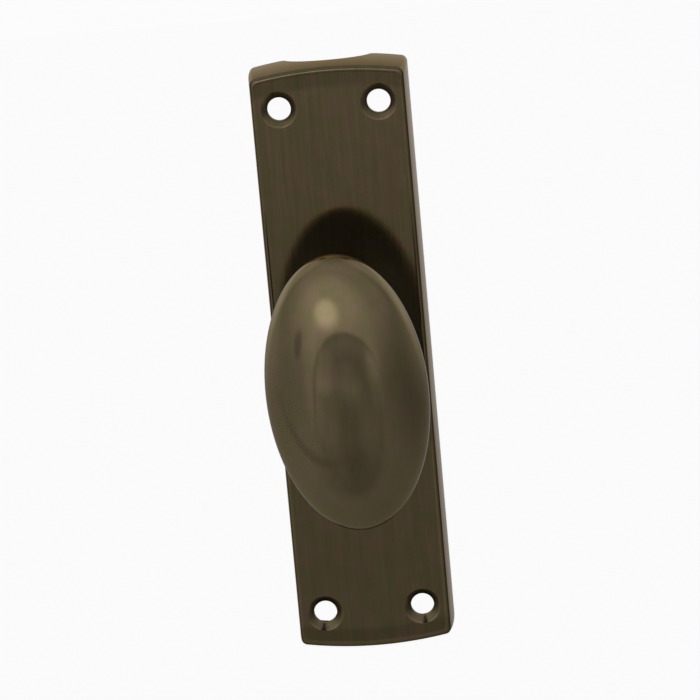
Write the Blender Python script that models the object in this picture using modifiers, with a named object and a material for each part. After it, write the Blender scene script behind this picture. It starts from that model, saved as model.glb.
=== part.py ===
"""Surface cremone bolt: a cast case with an oval knob, whose pinion drives two racks in opposite directions.

Metres, +Z up. The case stands upright against the wall plane y = 0 and its front looks along -Y.
The origin is on the wall plane, on the spindle's axis. A depth is a distance out from the wall, so y = -depth.
"""

import math

import bmesh
import bpy
from mathutils import Matrix

# Clearance between pieces that rest on, run in or are cut by one another
CLEAR = 0.0003

# Case: plan, section and moulded edge
CASE_WIDTH = 0.0340
CASE_LENGTH = 0.1285
CASE_DEPTH = 0.0150
END_ARC_RADIUS = 0.0880
CORNER_RADIUS = 0.0014
WALL = 0.0020
FACE_WALL = 0.0028
WALL_DRAFT = 0.0007
END_SLOPE = 1.4
OGEE_ROUND = 0.0007
OGEE_COVE = 0.0004
OGEE_TURN = 50
BEAD_RADIUS = 0.0003
BEAD_LEAN = 10
BEAD_RISE = 0.00007

# Wood screw holes, measured in from the case's outline
HOLE_SIDE_MARGIN = 0.00645
HOLE_END_MARGIN = 0.0092
HOLE_RADIUS = 0.0025
COUNTERSINK_RADIUS = 0.0038

# Half-round rod that leaves through each end, and the play round it in the opening
ROD_WIDTH = 0.0160
ROD_HEIGHT = 0.0071
ROD_SIDE_PLAY = 0.0015
ROD_FRONT_PLAY = 0.0007
MOUTH_ROUND = 0.0015

# Pinion and rack teeth: the module follows from the room between the racks' backs
TEETH = 12
PRESSURE_ANGLE = math.radians(20)
RACK_ADDENDUM_IN_MODULES = 0.68
TOOTH_GAP = 0.0003
BACKLASH = 0.0002

# Racks: toothed leg, bar and the tongue that carries the rod's peg
RACK_THICK = 0.0060
RACK_WEB = 0.0028
RACK_END_GAP = 0.0009
TONGUE_SHOULDER = 0.0008
TONGUE_THICK = 0.0035
PEG_RADIUS = 0.0023
PEG_SHANK_RADIUS = 0.0015
PEG_STAND = 0.0016
PEG_INSET = 0.0050
RIVET_RADIUS = 0.0022

# Back plate and its countersunk screws
PLATE_THICK = 0.0016
PLATE_CORNER = 0.0015
SCREW_RADIUS = 0.00135
SCREW_HEAD_RADIUS = 0.0024
SCREW_LENGTH = 0.0070
SCREW_SLOT = 0.0006
SLOT_DEPTH = 0.0006
BLOCK_LENGTH = 0.0050
BLOCK_TO_HOLE = 0.0015

# Bearings of the pinion: flanged bush in the case, thrust washer let into the back plate
BUSH_WALL = 0.0012
BUSH_FLANGE_WIDTH = 0.0014
BUSH_FLANGE_THICK = 0.0010
BOSS_WALL = 0.0024
THRUST_THICK = 0.0006
THRUST_WIDTH = 0.0014

# Ribs inside the case, and the brake springs between rack and side wall
RIB_WIDTH = 0.0020
RIB_TO_BLOCK = 0.0100
SPRING_ROOM = 0.00245
SPRING_THICK = 0.0004
SPRING_WIDTH = 0.0045
SPRING_LENGTH = 0.0240
SPRING_STOP = 0.0018

# Spindle, its flange and the pin that holds the knob
SPINDLE_SIDE = 0.0055
FLANGE_LIP = 0.0006
FLANGE_THICK = 0.0012
HUB_WALL = 0.0012
SOCKET_DEPTH = 0.0130
PIN_RADIUS = 0.00125
PIN_HEIGHT = 0.0092
PIN_SINK = 0.0003

# Knob: oval head, neck and foot, with a wave washer in the foot and a flat washer under it
KNOB_WIDTH = 0.0333
KNOB_LENGTH = 0.0577
KNOB_STAND = 0.0322
DOME_DEPTH = 0.0145
RIM_ROUND = 0.0016
BACK_COVE = 0.0105
NECK_WALL = 0.0019
NECK_BLEND = 0.0080
FOOT_WALL = 0.0021
FOOT_EDGE = 0.0012
KNOB_LEAN = math.radians(-2.5)
WASHER_THICK = 0.0006
WASHER_LIP = 0.0003
WAVE_THICK = 0.0003
WAVE_RISE = 0.0002
WAVE_WIDTH = 0.0026
WAVES = 3

# Facets round a circle, round a small circle and round the knob
ROUND_STEPS = 40
SMALL_STEPS = 24
KNOB_STEPS = 48

# How far a cutter passes the face that it opens, and how far an added block sinks into what carries it
THROUGH = 0.0010

# Lines that the pieces share, worked out from the sizes above
HALF_WIDTH = CASE_WIDTH / 2
HALF_LENGTH = CASE_LENGTH / 2
CAVITY_INSET = WALL + WALL_DRAFT
INNER_HALF_WIDTH = HALF_WIDTH - CAVITY_INSET
INNER_DEPTH = CASE_DEPTH - FACE_WALL
LEG_BACK = INNER_HALF_WIDTH - SPRING_ROOM
RACK_ROOT_LINE = LEG_BACK - RACK_WEB
PINION_TIP = RACK_ROOT_LINE - TOOTH_GAP
MODULE = PINION_TIP / (TEETH / 2 + 1)
PITCH_RADIUS = MODULE * TEETH / 2
TOOTH_PITCH = math.pi * MODULE
STROKE = math.pi * PITCH_RADIUS
RACK_TIP_LINE = PITCH_RADIUS - RACK_ADDENDUM_IN_MODULES * MODULE
PINION_ROOT = RACK_TIP_LINE - TOOTH_GAP
RACK_BACK = PLATE_THICK + CLEAR
RACK_FRONT = RACK_BACK + RACK_THICK
TONGUE_FRONT = RACK_BACK + TONGUE_THICK
GUIDE_LEVEL = RACK_FRONT + CLEAR
HOLE_X = HALF_WIDTH - HOLE_SIDE_MARGIN
HOLE_Z = HALF_LENGTH - HOLE_END_MARGIN
PLATE_TOP = HOLE_Z - HOLE_RADIUS - BLOCK_TO_HOLE
BLOCK_FOOT = PLATE_TOP - BLOCK_LENGTH
BLOCK_INNER = HOLE_X - HOLE_RADIUS
CROSS_RIB_Z = BLOCK_FOOT - RIB_TO_BLOCK
SCREW_X = (BLOCK_INNER + INNER_HALF_WIDTH) / 2
SCREW_Z = PLATE_TOP - BLOCK_LENGTH / 2
BAR_OUTER = BLOCK_INNER - CLEAR
BAR_INNER = RACK_TIP_LINE - 2 * CLEAR
BAR_FOOT = PINION_TIP + 2 * CLEAR
TEETH_BELOW = TEETH // 2 + 2
LEG_FOOT = -TEETH_BELOW * TOOTH_PITCH
LEG_SHOULDER = BLOCK_FOOT - CLEAR - STROKE
TONGUE_HALF_WIDTH = BAR_INNER - TONGUE_SHOULDER
TONGUE_TOP = HOLE_Z - HOLE_RADIUS - RACK_END_GAP
PEG_Z = TONGUE_TOP - PEG_INSET
BAR_TOP = min(PEG_Z - PEG_RADIUS, HALF_LENGTH - CAVITY_INSET - STROKE) - RACK_END_GAP
SPINDLE_CORNER = SPINDLE_SIDE / math.sqrt(2)
SQUARE_HOLE = SPINDLE_SIDE + 2 * CLEAR
HOLE_CORNER = SQUARE_HOLE / math.sqrt(2)
HUB_RADIUS = HOLE_CORNER + HUB_WALL
BUSH_BORE = HUB_RADIUS + CLEAR
BUSH_RADIUS = BUSH_BORE + BUSH_WALL
BUSH_FLANGE_RADIUS = BUSH_RADIUS + BUSH_FLANGE_WIDTH
BUSH_SEAT = GUIDE_LEVEL + BUSH_FLANGE_THICK + CLEAR
FLANGE_RADIUS = SPINDLE_CORNER + FLANGE_LIP
FLANGE_FRONT = RACK_BACK + FLANGE_THICK
THRUST_INNER = FLANGE_RADIUS + CLEAR
THRUST_OUTER = THRUST_INNER + THRUST_WIDTH
THRUST_BACK = PLATE_THICK - THRUST_THICK
WASHER_BACK = CASE_DEPTH + CLEAR
WASHER_FRONT = WASHER_BACK + WASHER_THICK
FOOT_DEPTH = WASHER_FRONT + CLEAR
WAVE_MIDDLE = FOOT_DEPTH + WAVE_RISE + WAVE_THICK / 2
WAVE_FRONT = WAVE_MIDDLE + WAVE_RISE + WAVE_THICK / 2
WAVE_INNER = SPINDLE_CORNER + CLEAR
WAVE_OUTER = WAVE_INNER + WAVE_WIDTH
FOOT_RADIUS = WAVE_OUTER + CLEAR + FOOT_WALL
WASHER_RADIUS = FOOT_RADIUS + WASHER_LIP
NECK_RADIUS = HOLE_CORNER + NECK_WALL
KNOB_PLANE = CASE_DEPTH + KNOB_STAND
SPINDLE_END = WAVE_FRONT + SOCKET_DEPTH
PIN_DEPTH = CASE_DEPTH + PIN_HEIGHT


def clear_scene():
    for obj in list(bpy.data.objects):
        bpy.data.objects.remove(obj, do_unlink=True)


def new_collection(name):
    made = bpy.data.collections.new(name)
    bpy.context.scene.collection.children.link(made)
    return made


clear_scene()
PARTS = new_collection("cremone_bolt")
TOOLS = new_collection("cutters")


def metal(name, colour, roughness):
    made = bpy.data.materials.new(name)
    made.use_nodes = True
    shader = made.node_tree.nodes["Principled BSDF"]
    shader.inputs["Base Color"].default_value = (*colour, 1)
    shader.inputs["Metallic"].default_value = 1.0
    shader.inputs["Roughness"].default_value = roughness
    return made


def as_part(obj, name, colour, roughness):
    """Names the object, gives it a material of its own and files it with the pieces."""
    obj.name = name
    obj.data.name = name
    obj.data.materials.clear()
    obj.data.materials.append(metal(name + "_metal", colour, roughness))
    obj.data.shade_smooth()
    obj.data.set_sharp_from_angle(angle=math.radians(32))
    PARTS.objects.link(obj)
    return obj


def as_tool(obj, name):
    """Files a cutter or an added block as a helper that isn't a piece."""
    obj.name = name
    obj.hide_render = True
    obj.display_type = "WIRE"
    TOOLS.objects.link(obj)
    return obj


def carrier(name, pieces):
    """An empty on a joint's axis that carries the pieces which move together."""
    empty = bpy.data.objects.new(name, None)
    empty.empty_display_size = 0.02
    PARTS.objects.link(empty)
    for piece in pieces:
        piece.parent = empty
    return empty


def mesh_object(bm):
    bmesh.ops.recalc_face_normals(bm, faces=bm.faces)
    mesh = bpy.data.meshes.new("shape")
    bm.to_mesh(mesh)
    bm.free()
    return bpy.data.objects.new("shape", mesh)


def evaluated_mesh(guide):
    """A guide's mesh after its modifiers or bevels, in a bmesh in world space; the guide is removed."""
    bpy.context.scene.collection.objects.link(guide)
    bpy.context.view_layer.update()
    graph = bpy.context.evaluated_depsgraph_get()
    mesh = bpy.data.meshes.new_from_object(guide.evaluated_get(graph))
    bm = bmesh.new()
    bm.from_mesh(mesh)
    bmesh.ops.transform(bm, matrix=guide.matrix_world, verts=bm.verts)
    bmesh.ops.remove_doubles(bm, verts=bm.verts, dist=0.000001)
    bpy.data.objects.remove(guide)
    return bm


def block(low, high):
    """A box between two corners, given as (x, depth, z)."""
    (x0, d0, z0), (x1, d1, z1) = low, high
    bm = bmesh.new()
    bmesh.ops.create_cube(bm, size=1)
    bmesh.ops.scale(bm, vec=(x1 - x0, d1 - d0, z1 - z0), verts=bm.verts)
    bmesh.ops.translate(bm, vec=((x0 + x1) / 2, -(d0 + d1) / 2, (z0 + z1) / 2), verts=bm.verts)
    return mesh_object(bm)


def round_bar(radius, depth_0, depth_1, x=0.0, z=0.0, radius_1=None, steps=ROUND_STEPS):
    """A cylinder or cone along Y, from depth_0 to the greater depth_1, with radius_1 at depth_1."""
    bm = bmesh.new()
    end_radius = radius if radius_1 is None else radius_1
    length = depth_1 - depth_0
    bmesh.ops.create_cone(bm, cap_ends=True, segments=steps, radius1=radius, radius2=end_radius, depth=length)
    turn = Matrix.Rotation(math.radians(90), 4, "X")
    place = Matrix.Translation((x, -(depth_0 + depth_1) / 2, z))
    bmesh.ops.transform(bm, matrix=place @ turn, verts=bm.verts)
    return mesh_object(bm)


def cross_bar(radius, half_length, depth, steps=SMALL_STEPS):
    """A round bar along X through the spindle's axis, at a depth."""
    bm = bmesh.new()
    length = 2 * half_length
    bmesh.ops.create_cone(bm, cap_ends=True, segments=steps, radius1=radius, radius2=radius, depth=length)
    turn = Matrix.Rotation(math.radians(90), 4, "Y")
    bmesh.ops.transform(bm, matrix=Matrix.Translation((0, -depth, 0)) @ turn, verts=bm.verts)
    return mesh_object(bm)


def outline_curve(outline, thickness):
    """A filled 2D curve through the outline's points, with the thickness centred on its plane."""
    curve = bpy.data.curves.new("outline", "CURVE")
    curve.dimensions = "2D"
    curve.fill_mode = "BOTH"
    curve.extrude = thickness / 2
    spline = curve.splines.new("POLY")
    spline.points.add(len(outline) - 1)
    for point, (u, v) in zip(spline.points, outline):
        point.co = (u, v, 0, 1)
    spline.use_cyclic_u = True
    return bpy.data.objects.new("outline", curve)


def flat_piece(outline, depth_0, depth_1):
    """An outline in X and Z, made solid between two depths."""
    guide = outline_curve(outline, depth_1 - depth_0)
    guide.rotation_euler.x = math.radians(90)
    guide.location.y = -(depth_0 + depth_1) / 2
    return mesh_object(evaluated_mesh(guide))


def long_section(outline, z_0, z_1):
    """An outline in X and depth, made solid between two heights."""
    guide = outline_curve([(x, -depth) for x, depth in outline], z_1 - z_0)
    guide.location.z = (z_0 + z_1) / 2
    return mesh_object(evaluated_mesh(guide))


def turned(profile, closed=False, steps=ROUND_STEPS):
    """Revolves a profile of (radius, depth) round the Y axis with a Screw modifier.

    An open profile starts and ends on the axis and a closed one goes round the section of a ring.
    """
    mesh = bpy.data.meshes.new("profile")
    edges = [(i, i + 1) for i in range(len(profile) - 1)]
    if closed:
        edges.append((len(profile) - 1, 0))
    mesh.from_pydata([(radius, 0, depth) for radius, depth in profile], edges, [])
    guide = bpy.data.objects.new("profile", mesh)
    guide.rotation_euler.x = math.radians(90)
    screw = guide.modifiers.new("turn", "SCREW")
    screw.axis = "Z"
    screw.steps = screw.render_steps = steps
    screw.use_merge_vertices = True
    screw.merge_threshold = 0.00001
    return mesh_object(evaluated_mesh(guide))


def ring(inner, outer, depth_0, depth_1, steps=ROUND_STEPS):
    return turned([(inner, depth_0), (outer, depth_0), (outer, depth_1), (inner, depth_1)], True, steps)


def combine(target, tools, operation):
    """Adds a live Boolean modifier to target for each tool, which follows the target."""
    for number, tool in enumerate(tools):
        as_tool(tool, f"{target.name}_{operation.lower()}_{number}")
        tool.parent = target
        modifier = target.modifiers.new(f"{operation.lower()}_{number}", "BOOLEAN")
        modifier.operation = operation
        modifier.object = tool


def arc(centre, radius, start, end, steps):
    """Points on a circle's arc, angles in degrees, both ends included."""
    cx, cz = centre
    angles = [math.radians(start + (end - start) * i / steps) for i in range(steps + 1)]
    return [(cx + radius * math.cos(a), cz + radius * math.sin(a)) for a in angles]


def four_corners(x, z):
    return [(x, z), (-x, z), (-x, -z), (x, -z)]


def rounded_rectangle(half_width, half_length, radius, steps=4):
    x = half_width - radius
    z = half_length - radius
    centres = ((x, z), (-x, z), (-x, -z), (x, -z))
    corners = [arc(centre, radius, 90 * i, 90 * i + 90, steps) for i, centre in enumerate(centres)]
    return [point for corner in corners for point in corner]


def case_outline(inset, end_inset):
    """The case's plan, its sides and its arched ends moved in, with rounded corners."""
    half_width = HALF_WIDTH - inset
    half_length = HALF_LENGTH - end_inset
    end_radius = END_ARC_RADIUS - end_inset
    end_centre = half_length - end_radius
    corner_x = half_width - CORNER_RADIUS
    corner_z = end_centre + math.sqrt((end_radius - CORNER_RADIUS) ** 2 - corner_x**2)
    meet = math.degrees(math.atan2(corner_z - end_centre, corner_x))
    quarter = arc((corner_x, corner_z), CORNER_RADIUS, 0, meet, 5)
    half_end = arc((0, end_centre), end_radius, meet, 90, 7)
    upper_right = quarter + half_end[1:]
    upper_left = [(-x, z) for x, z in reversed(upper_right[:-1])]
    upper = upper_right + upper_left
    return upper + [(-x, -z) for x, z in upper]


def edge_section():
    """The case's outer section as (inset, depth): drafted wall, ogee, and the bead raised round the field."""
    turn = math.radians(OGEE_TURN)
    lean = math.radians(BEAD_LEAN)
    round_x = WALL_DRAFT + OGEE_ROUND
    cove_x = round_x - (OGEE_ROUND + OGEE_COVE) * math.cos(turn)
    bead_x = cove_x + (OGEE_COVE + BEAD_RADIUS) * math.cos(lean)
    bead_depth = CASE_DEPTH + BEAD_RISE - BEAD_RADIUS
    cove_depth = bead_depth + (OGEE_COVE + BEAD_RADIUS) * math.sin(lean)
    round_depth = cove_depth - (OGEE_ROUND + OGEE_COVE) * math.sin(turn)
    inner_flank = math.degrees(math.acos(1 - BEAD_RISE / BEAD_RADIUS))
    rounded = arc((round_x, round_depth), OGEE_ROUND, 180, 180 - OGEE_TURN, 3)
    cove = arc((cove_x, cove_depth), OGEE_COVE, -OGEE_TURN, -BEAD_LEAN, 3)
    bead = arc((bead_x, bead_depth), BEAD_RADIUS, 180 - BEAD_LEAN, 90 - inner_flank, 5)
    return [(0, 0)] + rounded + cove[1:] + bead[1:]


def stacked(rings):
    """A closed body through rings of points that have the same count, capped at both ends."""
    bm = bmesh.new()
    loops = [[bm.verts.new(point) for point in points] for points in rings]
    for lower, upper in zip(loops, loops[1:]):
        for i in range(len(lower)):
            j = (i + 1) % len(lower)
            bm.faces.new((lower[i], lower[j], upper[j], upper[i]))
    bm.faces.new(loops[0])
    bm.faces.new(loops[-1])
    return mesh_object(bm)


def rod_opening():
    """Section of the opening for a half-round rod, its mouth rounded at the wall plane."""
    radius = ROD_WIDTH / 2 + ROD_SIDE_PLAY
    middle = ROD_HEIGHT + ROD_FRONT_PLAY - radius
    mouth_x = math.sqrt((radius + MOUTH_ROUND) ** 2 - (MOUTH_ROUND - middle) ** 2)
    meet = math.degrees(math.atan2(MOUTH_ROUND - middle, mouth_x))
    mouth = arc((mouth_x, MOUTH_ROUND), MOUTH_ROUND, 270, 180 + meet, 4)
    crown = arc((0, middle), radius, meet, 90, 10)
    right = [(mouth_x, -THROUGH)] + mouth + crown[1:]
    return right + [(-x, depth) for x, depth in reversed(right[:-1])]


def make_case():
    """The casting: moulded outside, hollow back, boss, guide ribs, screw blocks and spring stops inside."""
    outside = []
    for inset, depth in edge_section():
        outside.append([(x, -depth, z) for x, z in case_outline(inset, inset * END_SLOPE)])
    case = as_part(stacked(outside), "case", (0.24, 0.185, 0.12), 0.30)
    combine(case, [flat_piece(case_outline(CAVITY_INSET, CAVITY_INSET), -THROUGH, INNER_DEPTH)], "DIFFERENCE")

    roof = INNER_DEPTH + THROUGH
    side = INNER_HALF_WIDTH + THROUGH
    added = [round_bar(BUSH_RADIUS + CLEAR + BOSS_WALL, BUSH_SEAT, roof)]
    for sign in (-1, 1):
        z = sign * CROSS_RIB_Z
        added.append(block((-side, GUIDE_LEVEL, z - RIB_WIDTH / 2), (side, roof, z + RIB_WIDTH / 2)))
        x0 = sign * (RACK_ROOT_LINE + LEG_BACK) / 2 - RIB_WIDTH / 2
        added.append(block((x0, GUIDE_LEVEL, -CROSS_RIB_Z), (x0 + RIB_WIDTH, roof, CROSS_RIB_Z)))
    stop = SPRING_LENGTH / 2 + CLEAR
    for sx, sz in four_corners(1, 1):
        x = sorted((sx * BLOCK_INNER, sx * side))
        z = sorted((sz * BLOCK_FOOT, sz * PLATE_TOP))
        added.append(block((x[0], RACK_BACK, z[0]), (x[1], roof, z[1])))
        x = sorted((sx * (LEG_BACK + CLEAR), sx * side))
        z = sorted((sz * stop, sz * (stop + SPRING_STOP)))
        added.append(block((x[0], RACK_BACK, z[0]), (x[1], roof, z[1])))
    combine(case, added, "UNION")

    cuts = [round_bar(BUSH_RADIUS + CLEAR, 0, CASE_DEPTH + THROUGH)]
    cuts.append(round_bar(BUSH_FLANGE_RADIUS + CLEAR, 0, BUSH_SEAT - CLEAR / 2))
    sink = COUNTERSINK_RADIUS - HOLE_RADIUS
    for x, z in four_corners(HOLE_X, HOLE_Z):
        cuts.append(round_bar(HOLE_RADIUS, 0, CASE_DEPTH, x, z))
        mouth = COUNTERSINK_RADIUS + THROUGH
        cuts.append(round_bar(HOLE_RADIUS, CASE_DEPTH - sink, CASE_DEPTH + THROUGH, x, z, mouth))
    for x, z in four_corners(SCREW_X, SCREW_Z):
        cuts.append(round_bar(SCREW_RADIUS + CLEAR, 0, SCREW_LENGTH + CLEAR, x, z, steps=SMALL_STEPS))
    for sign in (-1, 1):
        z = sorted((sign * (HALF_LENGTH - 3 * CAVITY_INSET), sign * (HALF_LENGTH + THROUGH)))
        cuts.append(long_section(rod_opening(), z[0], z[1]))
    combine(case, cuts, "DIFFERENCE")


def make_back_plate():
    """Flat steel strip flush with the case's rim: four countersunk holes, a recess for the thrust washer."""
    outline = rounded_rectangle(INNER_HALF_WIDTH - CLEAR, PLATE_TOP, PLATE_CORNER)
    plate = as_part(flat_piece(outline, 0, PLATE_THICK), "back_plate", (0.50, 0.49, 0.47), 0.40)
    cuts = []
    for x, z in four_corners(SCREW_X, SCREW_Z):
        wide = SCREW_HEAD_RADIUS + CLEAR
        narrow = SCREW_RADIUS + CLEAR
        cuts.append(round_bar(narrow, -THROUGH, PLATE_THICK + THROUGH, x, z, steps=SMALL_STEPS))
        cuts.append(round_bar(wide + THROUGH, -THROUGH, wide - narrow, x, z, narrow, SMALL_STEPS))
    cuts.append(round_bar(THRUST_OUTER + CLEAR, THRUST_BACK - CLEAR, PLATE_THICK + THROUGH))
    combine(plate, cuts, "DIFFERENCE")


def make_plate_screws():
    """Four slotted countersunk screws, heads flush with the wall plane."""
    for number, (x, z) in enumerate(four_corners(SCREW_X, SCREW_Z), 1):
        sink = SCREW_HEAD_RADIUS - SCREW_RADIUS
        taper = SCREW_LENGTH - SCREW_RADIUS
        profile = [(0, 0), (SCREW_HEAD_RADIUS, 0), (SCREW_RADIUS, sink)]
        profile += [(SCREW_RADIUS, taper), (SCREW_RADIUS / 2, SCREW_LENGTH), (0, SCREW_LENGTH)]
        screw = as_part(turned(profile, steps=SMALL_STEPS), f"plate_screw_{number}", (0.55, 0.54, 0.52), 0.35)
        screw.location = (x, 0, z)
        reach = SCREW_HEAD_RADIUS + THROUGH
        slot = block((-reach, -THROUGH, -SCREW_SLOT / 2), (reach, SLOT_DEPTH, SCREW_SLOT / 2))
        combine(screw, [slot], "DIFFERENCE")


def pinion_outline():
    """Involute teeth; tooth 1 points along +X, so both racks have a space at height 0."""
    base = PITCH_RADIUS * math.cos(PRESSURE_ANGLE)
    involute_at_pitch = math.tan(PRESSURE_ANGLE) - PRESSURE_ANGLE
    half_tooth = (TOOTH_PITCH / 2 - BACKLASH) / (2 * PITCH_RADIUS)
    flank = []
    for i in range(6):
        radius = base + (PINION_TIP - base) * i / 5
        slope = math.acos(base / radius)
        flank.append((radius, half_tooth + involute_at_pitch - (math.tan(slope) - slope)))
    flank.insert(0, (PINION_ROOT, flank[0][1]))
    points = []
    for tooth in range(TEETH):
        middle = 2 * math.pi * tooth / TEETH
        rising = [(radius, middle - angle) for radius, angle in flank]
        falling = [(radius, middle + angle) for radius, angle in reversed(flank)]
        root = [(PINION_ROOT, middle + math.pi / TEETH)]
        points += rising + [(PINION_TIP, middle)] + falling + root
    return [(radius * math.cos(a), radius * math.sin(a)) for radius, a in points]


def make_pinion():
    """Toothed wheel with a long hub that runs in the bush, bored square for the spindle."""
    pinion = as_part(flat_piece(pinion_outline(), RACK_BACK, RACK_FRONT), "pinion", (0.46, 0.45, 0.43), 0.35)
    combine(pinion, [round_bar(HUB_RADIUS, RACK_FRONT - THROUGH, WASHER_FRONT)], "UNION")
    half = SQUARE_HOLE / 2
    square = block((-half, 0, -half), (half, WASHER_FRONT + THROUGH, half))
    seat = round_bar(FLANGE_RADIUS + CLEAR, 0, FLANGE_FRONT + CLEAR)
    combine(pinion, [square, seat], "DIFFERENCE")
    return pinion


def rack_outline():
    """Upper rack seen from the front: toothed leg left of the pinion, bar above it and round-ended tongue."""
    slope = math.tan(PRESSURE_ANGLE)
    pitch_half = (TOOTH_PITCH / 2 - BACKLASH) / 2
    tip_half = pitch_half - (PITCH_RADIUS - RACK_TIP_LINE) * slope
    root_half = pitch_half + (RACK_ROOT_LINE - PITCH_RADIUS) * slope
    points = [(RACK_ROOT_LINE, BAR_FOOT)]
    for tooth in range(1, -TEETH_BELOW - 1, -1):
        z = (tooth + 0.5) * TOOTH_PITCH
        points += [(RACK_ROOT_LINE, z + root_half), (RACK_TIP_LINE, z + tip_half)]
        points += [(RACK_TIP_LINE, z - tip_half), (RACK_ROOT_LINE, z - root_half)]
    chamfer = RACK_WEB / 3
    points += [(RACK_ROOT_LINE, LEG_FOOT), (LEG_BACK - chamfer, LEG_FOOT), (LEG_BACK, LEG_FOOT + chamfer)]
    points += [(LEG_BACK, LEG_SHOULDER - chamfer), (LEG_BACK - chamfer, LEG_SHOULDER)]
    points += [(BAR_OUTER, LEG_SHOULDER), (BAR_OUTER, BAR_TOP), (TONGUE_HALF_WIDTH, BAR_TOP)]
    points += arc((0, TONGUE_TOP - TONGUE_HALF_WIDTH), TONGUE_HALF_WIDTH, 0, 180, 12)
    points += [(-TONGUE_HALF_WIDTH, BAR_TOP), (-BAR_INNER, BAR_TOP), (-BAR_INNER, BAR_FOOT)]
    return [(-x, z) for x, z in points]


def make_rack(name, turn):
    """A rack and the peg riveted in its tongue; turned half round the spindle's axis for the other side."""
    rack = as_part(flat_piece(rack_outline(), RACK_BACK, RACK_FRONT), f"{name}_rack", (0.48, 0.47, 0.45), 0.40)
    reach = TONGUE_HALF_WIDTH + THROUGH
    top = TONGUE_TOP + THROUGH
    step = block((-reach, TONGUE_FRONT, BAR_TOP + CLEAR), (reach, RACK_FRONT + THROUGH, top))
    bore = PEG_SHANK_RADIUS + CLEAR
    hole = round_bar(bore, 0, TONGUE_FRONT + THROUGH, 0, PEG_Z, steps=SMALL_STEPS)
    sink = RIVET_RADIUS - PEG_SHANK_RADIUS
    mouth = RIVET_RADIUS + CLEAR + THROUGH
    seat = round_bar(mouth, RACK_BACK - THROUGH, RACK_BACK + sink, 0, PEG_Z, bore, SMALL_STEPS)

    chamfer = PEG_STAND / 4
    top = TONGUE_FRONT + CLEAR + PEG_STAND
    profile = [(0, RACK_BACK), (RIVET_RADIUS, RACK_BACK), (PEG_SHANK_RADIUS, RACK_BACK + sink)]
    profile += [(PEG_SHANK_RADIUS, TONGUE_FRONT + CLEAR), (PEG_RADIUS, TONGUE_FRONT + CLEAR)]
    profile += [(PEG_RADIUS, top - chamfer), (PEG_RADIUS - chamfer, top), (0, top)]
    peg = as_part(turned(profile, steps=SMALL_STEPS), f"{name}_rod_peg", (0.52, 0.51, 0.49), 0.35)
    peg.location.z = PEG_Z
    combine(rack, [step, hole, seat], "DIFFERENCE")
    carrier(f"{name}_slide", [rack, peg]).rotation_euler.y = turn


def make_brake_spring(name, sign):
    """Bowed leaf: its middle bears on the rack's back, its two ends on the case's side wall."""
    inner = LEG_BACK + CLEAR
    outer = INNER_HALF_WIDTH - CLEAR
    rise = outer - inner - SPRING_THICK
    half = SPRING_LENGTH / 2
    radius = (half**2 + rise**2) / (2 * rise)
    reach = math.degrees(math.asin(half / radius))
    centre = (inner + SPRING_THICK + radius, 0)
    face = arc(centre, radius + SPRING_THICK, 180 - reach, 180 + reach, 16)
    back = arc(centre, radius, 180 + reach, 180 - reach, 16)
    outline = [(sign * x, z) for x, z in face + back]
    middle = (RACK_BACK + RACK_FRONT) / 2
    leaf = flat_piece(outline, middle - SPRING_WIDTH / 2, middle + SPRING_WIDTH / 2)
    as_part(leaf, f"{name}_brake_spring", (0.28, 0.29, 0.31), 0.30)


def make_spindle():
    """Square bar with a round flange at the back, which keeps it from being pulled out."""
    half = SPINDLE_SIDE / 2
    bar = block((-half, RACK_BACK + FLANGE_THICK / 2, -half), (half, SPINDLE_END, half))
    spindle = as_part(bar, "spindle", (0.42, 0.41, 0.40), 0.35)
    combine(spindle, [round_bar(FLANGE_RADIUS, RACK_BACK, FLANGE_FRONT)], "UNION")
    combine(spindle, [cross_bar(PIN_RADIUS + CLEAR, SPINDLE_SIDE, PIN_DEPTH)], "DIFFERENCE")
    return spindle


def make_bearings():
    """Flanged bush in the case, thrust washer in the back plate and flat washer under the knob's foot."""
    flange = GUIDE_LEVEL + BUSH_FLANGE_THICK
    front = CASE_DEPTH
    profile = [(BUSH_BORE, GUIDE_LEVEL), (BUSH_FLANGE_RADIUS, GUIDE_LEVEL), (BUSH_FLANGE_RADIUS, flange)]
    profile += [(BUSH_RADIUS, flange), (BUSH_RADIUS, front), (BUSH_BORE, front)]
    as_part(turned(profile, True), "front_bush", (0.62, 0.46, 0.20), 0.35)
    thrust = ring(THRUST_INNER, THRUST_OUTER, THRUST_BACK, PLATE_THICK)
    as_part(thrust, "thrust_washer", (0.62, 0.46, 0.20), 0.35)
    as_part(ring(BUSH_BORE, WASHER_RADIUS, WASHER_BACK, WASHER_FRONT), "neck_washer", (0.24, 0.185, 0.12), 0.35)


def make_wave_washer():
    """Spring washer in the knob's foot, which takes up the end play: a ring bent into waves."""
    rings = []
    for radius, face in ((WAVE_INNER, -1), (WAVE_OUTER, -1), (WAVE_OUTER, 1), (WAVE_INNER, 1)):
        points = []
        for i in range(ROUND_STEPS):
            a = 2 * math.pi * i / ROUND_STEPS
            depth = WAVE_MIDDLE + WAVE_RISE * math.cos(WAVES * a) + face * WAVE_THICK / 2
            points.append((radius * math.cos(a), -depth, radius * math.sin(a)))
        rings.append(points)
    bm = bmesh.new()
    loops = [[bm.verts.new(point) for point in points] for points in rings]
    for lower, upper in zip(loops, loops[1:] + loops[:1]):
        for i in range(ROUND_STEPS):
            j = (i + 1) % ROUND_STEPS
            bm.faces.new((lower[i], lower[j], upper[j], upper[i]))
    return as_part(mesh_object(bm), "wave_washer", (0.28, 0.29, 0.31), 0.30)


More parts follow.
